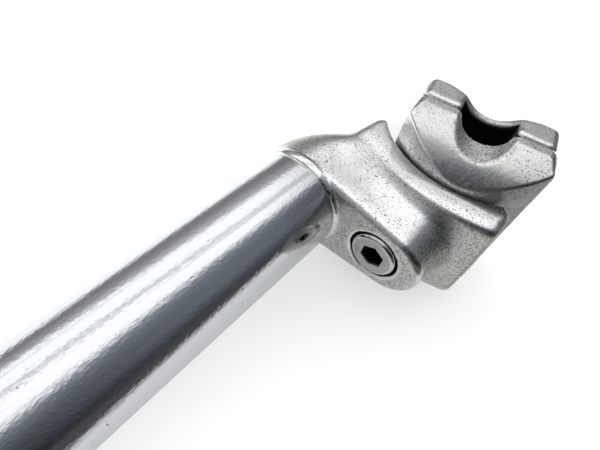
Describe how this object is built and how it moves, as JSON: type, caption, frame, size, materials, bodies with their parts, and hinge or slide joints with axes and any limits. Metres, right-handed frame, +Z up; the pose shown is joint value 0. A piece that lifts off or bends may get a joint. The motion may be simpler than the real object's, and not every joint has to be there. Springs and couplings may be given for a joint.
{
  "type": "bicycle seatpost",
  "caption": "Round polished seatpost tube with a laid-back head and a two-piece clamp that holds a saddle's rails, tilts in a toothed bowl and is tightened by a bolt.",
  "frame": {"origin": "on the table, below the centre of the box around the post as it lies there", "axes": "+X along the table from the tube's open end to the clamp; +Y toward the post's front; +Z up from the table"},
  "size_m": [0.2544, 0.0634, 0.0536],
  "materials": {
    "tube_polish": "mirror polish with fine scratches and scuffs",
    "head_cast": "polished casting, worn, with dark pits",
    "cradle_cast": "polished casting, worn, with dark pits",
    "plate_satin": "satin casting with a fine grain",
    "bolt_steel": "plated steel, worn bright at the rim"
  },
  "bodies": {
    "post": {"post_tube": "tube_polish", "post_head": "head_cast", "clamp_bolt": "bolt_steel", "bolt_washer": "bolt_steel", "barrel_nut": "bolt_steel"},
    "clamp": {"lower_cradle": "cradle_cast", "upper_clamp": "plate_satin"}
  },
  "joints": [
    {"name": "clamp_tilt", "type": "hinge", "parent": "post", "child": "clamp", "pos_m": [0.12066, -0.00868, 0.02724], "axis": [-0.0566, -0.0134, 0.9983], "range_deg": [-31.3, 4.7]}
  ]
}
